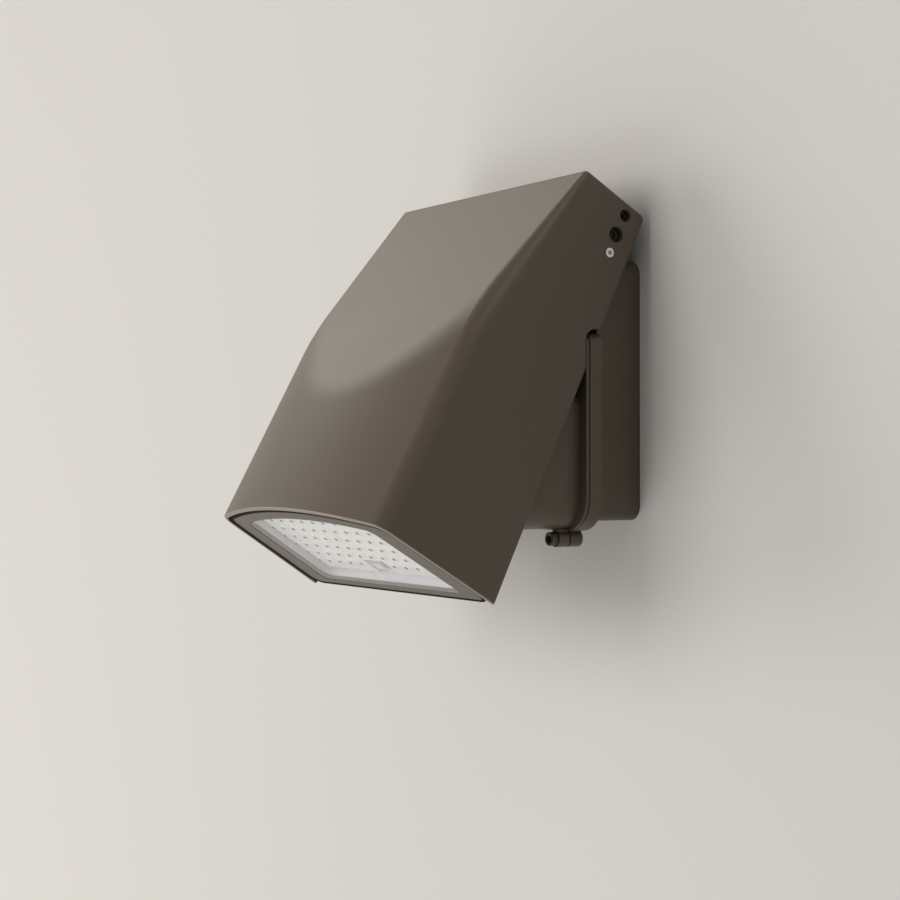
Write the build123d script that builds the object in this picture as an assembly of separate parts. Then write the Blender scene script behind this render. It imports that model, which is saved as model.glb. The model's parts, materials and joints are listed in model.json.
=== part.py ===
from build123d import *
from math import acos, cos, hypot, radians, sin, tan
import os

# Wall pack light with a tilting head. Millimetres, +Z up, the front looks along -Y.
# The origin is the middle of the back box's wall face, and +Y points into the wall.

# Back box, set in from the hood's widest line on each side
box_side_gap = 11.5
box_height = 172.5
box_depth = 35.5
box_wall = 3.5
back_plate = 4.0
box_corner = 10.0
box_edge = 1.5

# Service flange round the lower front of the box, which the driver housing closes
flange_overhang = 8.5
flange_foot = 6.5
flange_drop = 50.0
flange_depth = 11.2
flange_land = 14.0
flange_corner = 22.0
flange_top_corner = 8.0
flange_edge = 0.9
flange_rear_edge = 1.8
seal_thickness = 1.0
seal_inset = 1.0
seal_width = 9.0

# Driver housing
lip_thickness = 2.0
lip_inset = 0.6
housing_top_drop = 40.0
housing_foot_rise = 1.5
housing_depth = 54.8
housing_wall = 3.0
housing_corner = 19.0
housing_top_corner = 8.0
housing_edge = 6.0

# Captive screws in split bosses under the flange
captive_inset = 18.5
captive_drop = 5.0
captive_boss_radius = 5.5
captive_front_boss = 8.0
captive_rear_boss = 9.5
captive_web = 6.0
captive_travel = 5.0
captive_thread = 5.0
captive_head_radius = 4.6
captive_head = 5.0
ring_radius = 3.7
ring_thickness = 0.8

# Wall fixings
wall_bolt_side_inset = 23.5
wall_bolt_end_inset = 20.25
wall_bolt_radius = 3.25
junction_spacing = 88.9
junction_slot_width = 4.8
junction_slot_length = 12.0
wire_entry_radius = 11.1
wall_seal_width = 4.0
wall_seal_depth = 2.2
wall_seal_inset = 7.0

# Tilt pivot
pivot_rise = 14.0
pivot_standoff = 27.5
pivot_shank = 6.0
pivot_head_radius = 4.8
pivot_head = 2.6
pivot_socket = 5.0
pivot_hole_radius = 5.2
bushing_radius = 5.0
bushing_flange_radius = 7.5
bushing_flange = 3.8
running_clearance = 0.05
side_clearance = 0.3
ear_plate = 5.0
ear_hub_radius = 9.0
ear_lobe_radius = 18.5
ear_lobe_from = -12.0
ear_lobe_to = 76.0
ear_neck_back = 12.0
ear_neck_width = 12.0
ear_foot_width = 24.0
ear_foot_back = 14.0
ear_foot_thickness = 4.0
ear_screw_pitch = 12.0

# Lock screw and stop pin, on a line through the pivot along the hood's rear edge
lock_rise = 14.8
lock_back = 1.2
lock_hole_radius = 4.05
lock_head_radius = 3.7
lock_head = 2.6
lock_thread = 5.0
lock_socket = 4.0
stop_drop = 12.9
stop_back = 0.7
stop_pin_radius = 1.5
stop_pin_short = 1.0
sleeve_radius = 3.1

# Hood, in the head's upright pose: depth runs forward from its rear edge, drop runs down from its top corner
hood_lean = 25.4
hood_width = 240.0
hood_length = 276.0
hood_wall = 3.0
cheek_draft = 4.5
end_slope = 7.3
top_depth = 52.2
knee_drop = 98.4
knee_depth = 82.4
rim_depth = 91.4
rim_bow = 17.0
pivot_from_rear = 15.8
pivot_from_top = 21.5
corner_radius = 13.0
corner_top_radius = 3.0
corner_taper_end = 12.0
knee_blend = 90.0
hood_edge = 2.2
hood_rear_edge = 3.5
rim_edge = 0.7
pad_depth = 10.4
pad_radius = 9.0
pad_floor = 2.6
notch_gap = 2.9
notch_rise = 2.0
notch_corner = 8.0

# Optical chamber, measured inward from the plane of the hood's rim
frame_level = 1.0
frame_edge = 1.4
lens_face = 1.2
lens_level = 2.2
lens_thickness = 2.4
lens_gap = 0.4
lens_overlap = 3.0
lens_clearance = 0.3
gasket_thickness = 1.8
sink_level = 13.0
sink_base = 4.5
frame_gap = 1.5
frame_rear_gap = 0.2
frame_wall = 2.2
frame_corner = 12.0
frame_rear_corner = 10.0
window_side = 26.8
window_front = 15.3
window_rear = 8.5
window_corner = 9.0
window_rear_corner = 6.0
sink_gap = 1.0
fin_count = 12
fin_side = 43.0
fin_thickness = 2.0
fin_height = 22.5
fin_rear = 12.0
fin_front_inset = 19.3
board_thickness = 1.6
board_inner = 1.0
board_side = 34.0
board_rear = 12.5
board_front_inset = 26.3
board_corner = 4.0
led_side_margin = 3.5
led_front_margin = 5.15
led_columns = 6
led_rows = 6
led_first_row = 23.6
chip_size = 2.6
chip_height = 0.9
optic_plate = 1.6
optic_lift = 1.2
optic_rim = 0.8
optic_inset = 0.3
optic_hollow_corner = 3.4
dome_radius = 3.6
dome_height = 0.9
connector_width = 26.0
connector_reach = 16.0
connector_block = (12.0, 7.0, 3.4)
rear_mount_side = 14.0
rear_mount = 20.0
front_mount_side = 14.0
front_mount_inset = 37.3
mount_boss_radius = 5.2
mount_boss_height = 14.5
mount_roof = 2.0
mount_thread = 4.0
mount_head_radius = 3.5
mount_head = 2.2
mount_socket = 3.0
frame_screw_thread = 3.0
frame_screw_head_radius = 2.7
frame_screw_head = 2.0
frame_screw_socket = 2.5
frame_boss_radius = 3.4
frame_screw_rear = 9.0
frame_screw_side = 12.0
frame_screw_front_inset = 24.3
frame_screw_front_side = 16.0
front_screw_offset = 40.0
front_screw_inset = 9.6
board_screw_head = 1.4
board_screw_socket = 2.0
blind_skin = 1.0

# Electrical gear
driver_size = (124.0, 30.0, 60.0)
driver_ear = 9.0
driver_ear_thickness = 3.0
driver_screw_thread = 4.0
driver_screw_head_radius = 3.5
driver_screw_head = 2.4
driver_screw_socket = 2.5
terminal_size = (40.0, 18.0, 20.0)
terminal_screw_inset = 4.0
terminal_sink = 4.0
terminal_x = -55.0
terminal_z = -30.0
ground_x = 35.0
ground_z = -45.0
ground_head = 3.0
lead_radius = 2.1
lead_meet = 44.0
lead_outlet = 62.0
lead_bend = 12.9
lead_turn = 20.0
lead_jog = 12.0
lead_stub = 14.0
lead_crown_inset = 4.2
lead_crown_drop = 45.0
lead_side = 8.0
grommet_radius = 3.75
grommet_flange = 6.0
grommet_flange_thickness = 1.0
grommet_barb = 4.2
gland_radius = 5.0
gland_height = 4.0
lead_hole_radius = 4.0
lead_entry = 22.0
clip_width = 8.0
clip_wall = 1.4
clip_standoff = 4.5
clip_gap = 0.1
clip_drops = (104.0, 140.0)

# How far a cutting shape runs past the face that it opens
past = 1.0

box_width = hood_width - 2 * box_side_gap
captive_offset = box_width / 2 - captive_inset
wall_bolt_x = box_width - 2 * wall_bolt_side_inset
wall_bolt_z = box_height - 2 * wall_bolt_end_inset
pad_face = hood_width / 2 - pad_depth
ear_face = pad_face - bushing_flange - side_clearance
box_top = box_height / 2
box_foot = -box_height / 2
flange_top = box_top - flange_drop
flange_bottom = box_foot - flange_foot
flange_width = box_width + 2 * flange_overhang
flange_front = -box_depth - flange_depth
seal_front = flange_front - seal_thickness
lip_front = seal_front - lip_thickness
housing_top = flange_top - housing_top_drop
housing_bottom = flange_bottom + housing_foot_rise
housing_front = lip_front - housing_depth
captive_z = flange_bottom - captive_drop
pivot_y = -pivot_standoff
pivot_z = box_top + pivot_rise
head_place = Location((0, pivot_y, pivot_z), (-hood_lean, 0, 0))
rim_place = Location((0, pivot_from_rear, pivot_from_top - hood_length), (-end_slope, 0, 0))
lens_back = lens_level + lens_thickness
land_level = lens_back + gasket_thickness
sink_top = sink_level + sink_base
board_level = sink_level - board_thickness
chip_level = board_level - chip_height
optic_back = board_level - optic_lift
optic_level = optic_back - optic_plate
dome_level = optic_level - dome_height
cheek_slope = tan(radians(cheek_draft))
top_fall = tan(radians(end_slope))
upper_slope = (knee_depth - top_depth) / (knee_drop + top_depth * top_fall)
bow_chord = hood_width / 2 - cheek_slope * (knee_depth + rim_depth) / 2
bow_radius = (bow_chord ** 2 + rim_bow ** 2) / (2 * rim_bow)
rim_reach = (rim_depth + rim_bow) / cos(radians(end_slope))
fin_pitch = (hood_width - 2 * fin_side) / (fin_count - 1)
fin_front = rim_reach - fin_front_inset
board_outer = hood_width / 2 - board_side
board_front = rim_reach - board_front_inset
led_pitch_x = (board_outer - led_side_margin) / (led_columns - 0.5)
led_pitch_y = (board_front - led_front_margin - led_first_row) / (led_rows - 1)
front_mount = rim_reach - front_mount_inset
frame_screw_front = rim_reach - frame_screw_front_inset
driver_middle = (housing_top + housing_bottom) / 2
driver_front = housing_front + housing_wall + driver_ear_thickness
driver_back = driver_front + driver_size[1]
ear_plate_back = ear_face - ear_plate
pad_seat = pad_face + pad_floor
ring_seat = seal_front - side_clearance
neck_radius = (captive_thread - ring_thickness) / 2


def box_between(low, high):
    """Block with the given opposite corners."""
    size = [high[i] - low[i] for i in range(3)]
    middle = [(high[i] + low[i]) / 2 for i in range(3)]
    return Pos(*middle) * Box(*size)


def rod_x(radius, start, end, y=0.0, z=0.0):
    """Cylinder along X between two x positions."""
    return Pos((start + end) / 2, y, z) * Rot(0, 90, 0) * Cylinder(radius, abs(end - start))


def rod_y(radius, start, end, x=0.0, z=0.0):
    """Cylinder along Y between two y positions."""
    return Pos(x, (start + end) / 2, z) * Rot(90, 0, 0) * Cylinder(radius, abs(end - start))


def rod_z(radius, start, end, x=0.0, y=0.0):
    """Cylinder along Z between two z positions."""
    return Pos(x, y, (start + end) / 2) * Cylinder(radius, abs(end - start))


def both_sides(piece):
    """The piece and its mirror image across the middle plane."""
    return [piece, mirror(piece, Plane.YZ)]


def group(pieces):
    """Separate solids that share one node."""
    solids = [solid for piece in pieces for solid in piece.solids()]
    return Compound(children=solids)


def screw(thread, length, head_radius, head, socket):
    """Socket-head screw along Z: the head stands above z = 0 and the shank hangs below it."""
    body = rod_z(head_radius, 0, head) + rod_z(thread / 2, -length, 0)
    recess = extrude(Pos(0, 0, head) * RegularPolygon(socket / 2, 6), -0.6 * head)
    return (body - recess).solid()


def front_panel(width, low, high, corner, top_corner, start, end):
    """Plate in the XZ plane between two y positions, with its own corner radii below and above."""
    face = Pos(0, (low + high) / 2) * Rectangle(width, high - low)
    face = fillet(face.vertices().sort_by(Axis.Y)[:2], corner)
    face = fillet(face.vertices().sort_by(Axis.Y)[-2:], top_corner)
    plane = Plane(origin=(0, max(start, end), 0), x_dir=(1, 0, 0), z_dir=(0, -1, 0))
    return extrude(plane * face, abs(end - start))


# ------------------------------------------------------------ box on the wall

def captive_boss(start, end):
    """Pair of round bosses under the flange with their webs, between two y positions."""
    bosses = []
    for x in (-captive_offset, captive_offset):
        boss = rod_y(captive_boss_radius, start, end, x, captive_z)
        web = box_between(
            (x - captive_web / 2, min(start, end), captive_z),
            (x + captive_web / 2, max(start, end), captive_z + captive_drop + housing_foot_rise),
        )
        bosses += [boss, web]
    return bosses


def back_box():
    shell = front_panel(box_width, box_foot, box_top, box_corner, box_corner, -box_depth, 0)
    shell = fillet(shell.edges().filter_by(Plane.XZ).group_by(Axis.Y)[0], box_edge)
    flange = front_panel(
        flange_width, flange_bottom, flange_top, flange_corner, flange_top_corner, flange_front, -box_depth
    )
    flange = fillet(flange.edges().filter_by(Plane.XZ).group_by(Axis.Y)[-1], flange_rear_edge)
    flange = fillet(flange.edges().filter_by(Plane.XZ).group_by(Axis.Y)[0], flange_edge)
    cavity = front_panel(
        box_width - 2 * box_wall,
        box_foot + box_wall,
        box_top - box_wall,
        box_corner - box_wall,
        box_corner - box_wall,
        box_wall - box_depth,
        -back_plate,
    )
    opening = front_panel(
        flange_width - 2 * flange_land,
        flange_bottom + flange_land,
        flange_top - flange_land / 4,
        flange_corner - flange_land / 2,
        box_wall,
        flange_front - past,
        -back_plate,
    )
    box = shell + flange + captive_boss(flange_front, flange_front + captive_rear_boss)
    box -= cavity
    box -= opening
    for x in (-captive_offset, captive_offset):
        depth = flange_front + captive_travel + side_clearance
        box -= rod_y(captive_thread / 2 + running_clearance, flange_front - past, depth, x, captive_z)
    for x in (-wall_bolt_x / 2, wall_bolt_x / 2):
        for z in (-wall_bolt_z / 2, wall_bolt_z / 2):
            box -= rod_y(wall_bolt_radius, -box_depth / 2, past, x, z)
    for x in (-junction_spacing / 2, junction_spacing / 2):
        slot = Plane.XZ * Pos(x, 0) * SlotOverall(junction_slot_length, junction_slot_width)
        box -= extrude(slot, back_plate + past, both=True)
    box -= rod_y(wire_entry_radius, -back_plate - past, past)
    box -= wall_seal()
    for x, z in terminal_screw_points():
        box -= rod_y(driver_screw_thread / 2, -back_plate, -back_plate / 2, x, z)
    box -= rod_y(driver_screw_thread / 2, -back_plate, -back_plate / 2, ground_x, ground_z)
    for x, y in ear_screw_points():
        for side in (-x, x):
            box -= rod_z(mount_thread / 2, box_top - box_wall - past, box_top + past, side, y)
    box -= rod_z(grommet_radius, box_top - box_wall - past, box_top + past, lead_outlet, pivot_y)
    return box


def wall_seal():
    outer = front_panel(
        box_width - 2 * wall_seal_inset,
        box_foot + wall_seal_inset,
        box_top - wall_seal_inset,
        box_corner,
        box_corner,
        -wall_seal_depth,
        0,
    )
    inner = front_panel(
        box_width - 2 * (wall_seal_inset + wall_seal_width),
        box_foot + wall_seal_inset + wall_seal_width,
        box_top - wall_seal_inset - wall_seal_width,
        box_corner - wall_seal_width,
        box_corner - wall_seal_width,
        -wall_seal_depth,
        0,
    )
    return outer - inner


def cover_seal():
    outer_width = flange_width - 2 * seal_inset
    outer = front_panel(
        outer_width,
        flange_bottom + seal_inset,
        flange_top - seal_inset,
        flange_corner - seal_inset,
        flange_top_corner - seal_inset,
        seal_front,
        flange_front,
    )
    inner = front_panel(
        outer_width - 2 * seal_width,
        flange_bottom + seal_inset + seal_width,
        flange_top - seal_inset - seal_width / 4,
        flange_corner - seal_width,
        box_wall,
        seal_front,
        flange_front,
    )
    return outer - inner


def driver_housing():
    lip = front_panel(
        flange_width - 2 * lip_inset,
        flange_bottom + lip_inset,
        flange_top - lip_inset,
        flange_corner - lip_inset,
        flange_top_corner - lip_inset,
        lip_front,
        seal_front,
    )
    tray = front_panel(
        box_width,
        housing_bottom,
        housing_top,
        housing_corner,
        housing_top_corner,
        housing_front,
        lip_front,
    )
    tray = fillet(tray.edges().filter_by(Plane.XZ).group_by(Axis.Y)[0], housing_edge)
    hollow = front_panel(
        box_width - 2 * housing_wall,
        housing_bottom + housing_wall,
        housing_top - housing_wall,
        housing_corner - housing_wall,
        housing_top_corner - housing_wall,
        housing_front + housing_wall,
        seal_front,
    )
    hollow = fillet(hollow.edges().filter_by(Plane.XZ).group_by(Axis.Y)[0], housing_edge - housing_wall)
    housing = lip + tray + captive_boss(seal_front - captive_front_boss, seal_front)
    housing -= hollow
    for x in (-captive_offset, captive_offset):
        shank = captive_thread / 2 + running_clearance
        housing -= rod_y(shank, seal_front - captive_front_boss - past, seal_front, x, captive_z)
        seat = ring_seat - ring_thickness - captive_travel - side_clearance
        housing -= rod_y(ring_radius + side_clearance, seat, seal_front, x, captive_z)
    for x, z in driver_screw_points():
        stud = rod_y(driver_ear / 2, housing_front + housing_wall / 2, driver_front, x, z)
        housing += stud
        housing -= rod_y(driver_screw_thread / 2, housing_front + housing_wall, driver_front, x, z)
    return housing


def captive_screw(x):
    seat = seal_front - captive_front_boss
    length = captive_front_boss + seal_thickness + captive_travel
    body = screw(captive_thread, length, captive_head_radius, captive_head, captive_thread)
    body = Pos(x, seat, captive_z) * Rot(90, 0, 0) * body
    groove = rod_y(captive_thread, ring_seat - ring_thickness, ring_seat, x, captive_z)
    core = rod_y(neck_radius, ring_seat - ring_thickness, ring_seat, x, captive_z)
    return (body - (groove - core)).solid()


def captive_ring(x):
    ring = rod_y(ring_radius, ring_seat - ring_thickness, ring_seat, x, captive_z)
    return ring - rod_y(neck_radius, ring_seat - ring_thickness, ring_seat, x, captive_z)


# ------------------------------------------------------------ electrical gear in the box

def driver_screw_points():
    reach = driver_size[0] / 2 + driver_ear / 2
    return [(-reach, driver_middle), (reach, driver_middle)]


def led_driver():
    width, depth, height = driver_size
    front = driver_front
    case = box_between(
        (-width / 2, front, driver_middle - height / 2),
        (width / 2, front + depth, driver_middle + height / 2),
    )
    case = fillet(case.edges().filter_by(Axis.Y), 2 * driver_ear_thickness)
    for x, z in driver_screw_points():
        inner = x - driver_ear if x > 0 else x + driver_ear
        tab = rod_y(driver_ear / 2, front, front + driver_ear_thickness, x, z)
        tab += box_between(
            (min(x, inner), front, z - driver_ear / 2),
            (max(x, inner), front + driver_ear_thickness, z + driver_ear / 2),
        )
        case = case + tab - rod_y(driver_screw_thread / 2 + side_clearance, front, front + depth, x, z)
    return case


def driver_screws():
    length = 2 * driver_ear_thickness
    body = screw(
        driver_screw_thread, length, driver_screw_head_radius, driver_screw_head, driver_screw_socket
    )
    back = driver_front + driver_ear_thickness
    return group(Pos(x, back, z) * Rot(-90, 0, 0) * body for x, z in driver_screw_points())


def terminal_screw_points():
    reach = terminal_size[0] / 2 - terminal_screw_inset
    return [(terminal_x - reach, terminal_z), (terminal_x + reach, terminal_z)]


def terminal_block():
    width, depth, height = terminal_size
    block = box_between(
        (terminal_x - width / 2, -back_plate - depth, terminal_z - height / 2),
        (terminal_x + width / 2, -back_plate, terminal_z + height / 2),
    )
    for x, z in terminal_screw_points():
        block -= rod_y(driver_screw_thread, -back_plate - depth, terminal_sink - back_plate - depth, x, z)
        block -= rod_y(driver_screw_thread / 2 + side_clearance, -back_plate - depth, -back_plate, x, z)
    for step in (-1, 0, 1):
        port_x = terminal_x + step * width / 5
        for z in (terminal_z - height / 2, terminal_z + height / 2):
            block -= Pos(port_x, -back_plate - depth / 2, z) * Box(width / 8, depth / 3, height / 3)
    return block


def terminal_screws():
    seat = terminal_sink - back_plate - terminal_size[1]
    head_radius = driver_screw_thread - side_clearance
    length = -back_plate / 2 - seat
    body = screw(driver_screw_thread, length, head_radius, driver_screw_head, driver_screw_socket)
    return group(Pos(x, seat, z) * Rot(90, 0, 0) * body for x, z in terminal_screw_points())


def ground_screw():
    length = ground_head + back_plate / 2
    body = screw(driver_screw_thread, length, driver_screw_thread, ground_head, driver_screw_socket)
    return Pos(ground_x, -back_plate - ground_head, ground_z) * Rot(90, 0, 0) * body


def lead_grommet():
    low = box_top - box_wall
    high = box_top + grommet_flange_thickness
    body = rod_z(grommet_radius, low, box_top, lead_outlet, pivot_y)
    body += rod_z(grommet_flange, box_top, high, lead_outlet, pivot_y)
    body += rod_z(grommet_barb, low - grommet_barb, low, lead_outlet, pivot_y)
    return body - rod_z(lead_radius, low - grommet_barb - past, high + past, lead_outlet, pivot_y)


def tube(points, bends, radius):
    """Round tube along straight runs joined by tangent arcs."""
    path = FilletPolyline(*points, radius=bends)
    start = Plane(origin=path @ 0, z_dir=path % 0)
    return sweep(start * Circle(radius), path=path)


def box_lead():
    points = [
        (lead_meet, pivot_y, pivot_z),
        (lead_outlet, pivot_y, pivot_z),
        (lead_outlet, pivot_y, driver_middle + lead_turn),
        (lead_outlet - lead_jog, pivot_y - lead_jog, driver_middle),
        (lead_outlet - lead_jog, driver_back, driver_middle),
    ]
    return tube(points, [lead_bend, 2 * lead_bend, lead_bend], lead_radius)


def input_lead():
    block_front = -back_plate - terminal_size[1]
    points = [
        (terminal_x + lead_stub, driver_back, terminal_z),
        (terminal_x + lead_stub, driver_back + lead_stub, terminal_z),
        (terminal_x, block_front - lead_stub, terminal_z),
        (terminal_x, block_front, terminal_z),
    ]
    return tube(points, [lead_bend, lead_bend], lead_radius)


# ------------------------------------------------------------ hinge ears on the box

def ear_screw_points():
    middle = pivot_y + ear_foot_back / 2
    inner = ear_face - ear_neck_width - ear_foot_width / 2
    return [(inner, middle - ear_screw_pitch / 2), (inner, middle + ear_screw_pitch / 2)]


def ear_lobe():
    lobe = rod_x(ear_lobe_radius, ear_plate_back, ear_face)
    for angle in (ear_lobe_from, ear_lobe_to):
        turn = angle + 180 if angle == ear_lobe_to else angle
        reach = 2 * ear_lobe_radius
        middle = Pos((ear_plate_back + ear_face) / 2, 0, -reach)
        lobe -= Rot(turn, 0, 0) * middle * Box(2 * ear_plate, 2 * reach, 2 * reach)
    return lobe


def hinge_ear():
    ear = rod_x(ear_hub_radius, ear_plate_back, ear_face) + ear_lobe()
    front = stop_front()
    ear += box_between((ear_face - ear_neck_width, front, -pivot_rise), (ear_face, ear_neck_back, 0))
    foot_inner = ear_face - ear_neck_width - ear_foot_width
    foot_top = ear_foot_thickness - pivot_rise
    ear += box_between((foot_inner, front, -pivot_rise), (ear_plate_back, ear_foot_back, foot_top))
    ear -= rod_x(pivot_shank / 2, ear_face - ear_neck_width - past, ear_face + past)
    ear = Pos(0, pivot_y, pivot_z) * ear
    hole_top = box_top + 2 * ear_foot_thickness
    for x, y in ear_screw_points():
        ear -= rod_z(mount_thread / 2 + side_clearance, box_top - past, hole_top, x, y)
    return ear


def stop_front():
    """Front face of the ear's neck, where the stop pin comes to rest."""
    pin_y, pin_z = turned(stop_back, -stop_drop)
    return pin_y + stop_pin_radius + side_clearance


def turned(y, z):
    """A point of the upright head, turned to the rest pose about the pivot."""
    lean = radians(hood_lean)
    return (y * cos(lean) + z * sin(lean), z * cos(lean) - y * sin(lean))


def ear_screws():
    length = ear_foot_thickness + box_wall
    body = screw(mount_thread, length, mount_head_radius, mount_head, mount_socket)
    seat = box_top + ear_foot_thickness
    screws = []
    for x, y in ear_screw_points():
        screws += both_sides(Pos(x, y, seat) * body)
    return group(screws)


def pivot_bolt():
    seat = pad_seat + side_clearance
    length = seat - ear_face + ear_neck_width
    body = screw(pivot_shank, length, pivot_head_radius, pivot_head, pivot_socket)
    return Pos(seat, pivot_y, pivot_z) * Rot(0, 90, 0) * body


# ------------------------------------------------------------ hood

def upright(point):
    """Depth and drop on the hood turned into y and z about the pivot."""
    return (pivot_from_rear - point[0], pivot_from_top - point[1])


def shifted(start, end, out):
    """The line through two points, moved outward."""
    run = (end[0] - start[0], end[1] - start[1])
    length = hypot(*run)
    move = (run[1] / length * out, -run[0] / length * out)
    return ((start[0] + move[0], start[1] + move[1]), (end[0] + move[0], end[1] + move[1]))


def crossing(first, second):
    """Where two lines meet."""
    (x1, y1), (x2, y2) = first
    (x3, y3), (x4, y4) = second
    bottom = (x1 - x2) * (y3 - y4) - (y1 - y2) * (x3 - x4)
    left = x1 * y2 - y1 * x2
    right = x3 * y4 - y3 * x4
    x = (left * (x3 - x4) - (x1 - x2) * right) / bottom
    y = (left * (y3 - y4) - (y1 - y2) * right) / bottom
    return (x, y)


def hood_block(inset, opening):
    """The hood's closed outer form, or the space inside it that runs out behind and below."""
    knee = (knee_depth, knee_drop)
    rim_front = (rim_depth, hood_length - rim_depth * top_fall)
    corners = [(0, 0), (top_depth, -top_depth * top_fall), knee, rim_front, (0, hood_length)]
    outs = [-inset, -inset, rim_bow - inset, opening, opening]
    lines = [shifted(corners[i], corners[(i + 1) % 5], outs[i]) for i in range(5)]
    outline = [upright(crossing(lines[i - 1], lines[i])) for i in range(5)]
    side = Plane.YZ.offset(-hood_width) * Polyline(*outline, close=True)
    block = extrude(make_face(side), 2 * hood_width)
    near = -opening - past
    far = 2 * rim_depth
    skew = cos(radians(cheek_draft))
    widths = [hood_width / 2 - inset / skew - cheek_slope * depth for depth in (near, far)]
    plan = Plane.XY.offset(-2 * hood_length) * Polygon(
        (-widths[0], pivot_from_rear - near),
        (-widths[1], pivot_from_rear - far),
        (widths[1], pivot_from_rear - far),
        (widths[0], pivot_from_rear - near),
        align=None,
    )
    block &= extrude(plan, 4 * hood_length)
    knee_at = upright(knee)
    rim_at = upright(rim_front)
    down = Vector(0, rim_at[0] - knee_at[0], rim_at[1] - knee_at[1])
    bow_plane = Plane(origin=(0, *knee_at), x_dir=(1, 0, 0), z_dir=down).offset(-hood_length)
    bow = bow_plane * Pos(0, rim_bow - bow_radius) * Circle(bow_radius - inset)
    block &= extrude(bow, 3 * hood_length)
    crease = block.edges().filter_by(GeomType.ELLIPSE).group_by(Axis.Z)[-1]
    block = fillet(crease, knee_blend - inset)
    return fillet(front_corners(block), corner_radius - inset)


def front_corners(block):
    """The edges down both front corners of the hood."""
    edges = []
    for edge in block.edges():
        middle = edge.center()
        along = edge % 0.5
        if abs(middle.X) > hood_width / 3 and abs(along.Z) > 0.5 and middle.Y < -pivot_from_rear:
            edges.append(edge)
    return edges


def slope_point(drop):
    """Point of the right front corner line above the knee, in the upright head."""
    depth = top_depth + upper_slope * (drop + top_depth * top_fall)
    return Vector(hood_width / 2 - cheek_slope * depth, *upright((depth, drop)))


def away(face, edge, other):
    """Direction in one face, square to its edge with another face and away from it."""
    line = face.cross(edge)
    return line if line.dot(other) < 0 else line * -1


def corner_section(at, cheek, front, radius):
    """Closed outline across a rounded corner, from its two face directions."""
    half = acos(cheek.dot(front)) / 2
    middle = (cheek + front).normalized()
    first = at + cheek * (radius / tan(half))
    last = at + front * (radius / tan(half))
    crown = at + middle * (radius / sin(half) - radius)
    reach = 1.5 * corner_radius
    lines = [
        Line(at + cheek * reach, first),
        ThreePointArc(first, crown, last),
        Line(last, at + front * reach),
        Line(at + front * reach, at + cheek * reach),
    ]
    return Wire(lines)


def corner_taper():
    """Filling of the right front corner above the knee, where its radius shrinks towards the top."""
    top = slope_point(-top_depth * top_fall)
    low = slope_point(knee_drop - corner_taper_end)
    edge = (low - top).normalized()
    cheek_normal = Vector(cos(radians(cheek_draft)), -sin(radians(cheek_draft)), 0)
    front_normal = Vector(0, -1, upper_slope).normalized()
    cheek = away(cheek_normal, edge, front_normal)
    front = away(front_normal, edge, cheek_normal)
    growth = (corner_radius - corner_top_radius) / (low - top).length
    rise = corner_top_radius / growth / 2
    upper = corner_section(top - edge * rise, cheek, front, corner_top_radius / 2)
    lower = corner_section(low, cheek, front, corner_radius - running_clearance)
    taper = Solid.make_loft([upper, lower], True)
    lid = Plane(origin=(0, pivot_from_rear, pivot_from_top), x_dir=(1, 0, 0), z_dir=(0, top_fall, 1))
    return taper & extrude(lid * Rectangle(2 * hood_width, 2 * hood_width), -hood_length)


def rim_edges(block):
    """The edges round the hood's open foot, without the one behind."""
    foot = block.faces().sort_by(Axis.Z)[0]
    return [edge for edge in foot.edges() if edge.center().Y < pivot_from_rear - rim_edge]


def hood():
    block = hood_block(0, 0)
    for side in both_sides(corner_taper()):
        block += side
    block = fillet(block.edges().filter_by(Axis.X).sort_by(Axis.Z)[-2], hood_rear_edge)
    block = fillet(block.edges().filter_by(Axis.X).sort_by(Axis.Z)[-1], hood_edge)
    skin = fillet(rim_edges(block), rim_edge)
    inner = hood_block(hood_wall, 8 * hood_wall)
    shell = skin - inner
    pads = [hinge_pad()] + [mount_boss(x, y) for x, y in mount_points()]
    for pad in pads:
        for side in both_sides(pad):
            shell += side & skin
    for side in both_sides(hinge_holes()):
        shell -= side
    for x, y in mount_points():
        hole = rod_z(mount_thread / 2, sink_top - past, sink_top + mount_boss_height - mount_roof, x, -y)
        for side in both_sides(rim_place * hole):
            shell -= side
    return head_place * shell - notches()


def hinge_pad():
    points = [(lock_back, lock_rise), (0, 0), (stop_back, -stop_drop)]
    pad = None
    for y, z in points:
        disc = rod_x(pad_radius, pad_face, hood_width / 2, y, z)
        pad = disc if pad is None else pad + disc
    low = (pad_face, -pad_radius, -stop_drop)
    high = (hood_width / 2, pad_radius, pivot_from_top)
    return pad + box_between(low, high)


def hinge_holes():
    outside = hood_width / 2 + 1
    holes = rod_x(pivot_hole_radius, pad_seat, outside)
    holes += rod_x(bushing_radius, pad_face - past, pad_seat + past)
    lock_seat = pad_seat + side_clearance
    holes += rod_x(lock_hole_radius, lock_seat, outside, lock_back, lock_rise)
    holes += rod_x(lock_thread / 2 + running_clearance, pad_face - past, outside, lock_back, lock_rise)
    holes += rod_x(sleeve_radius, pad_face - past, outside, stop_back, -stop_drop)
    return holes


def notches():
    """Cut in each cheek that clears the flange at the head's lowest pose."""
    front = lip_front - notch_gap
    top = flange_top + notch_rise
    cut = box_between((0, front, 2 * flange_bottom), (hood_width, box_depth, top))
    top_front = cut.edges().filter_by(Axis.X).sort_by(lambda edge: edge.center().Y - edge.center().Z)[0]
    cut = fillet(top_front, notch_corner)
    return both_sides(cut)


# ------------------------------------------------------------ pivot hardware on the head

def pivot_bushing():
    bushing = rod_x(bushing_radius, pad_face, pad_seat)
    bushing += rod_x(bushing_flange_radius, ear_face + side_clearance, pad_face)
    bushing -= rod_x(pivot_shank / 2 + running_clearance, ear_face, pad_seat + past)
    return head_place * bushing


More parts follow.
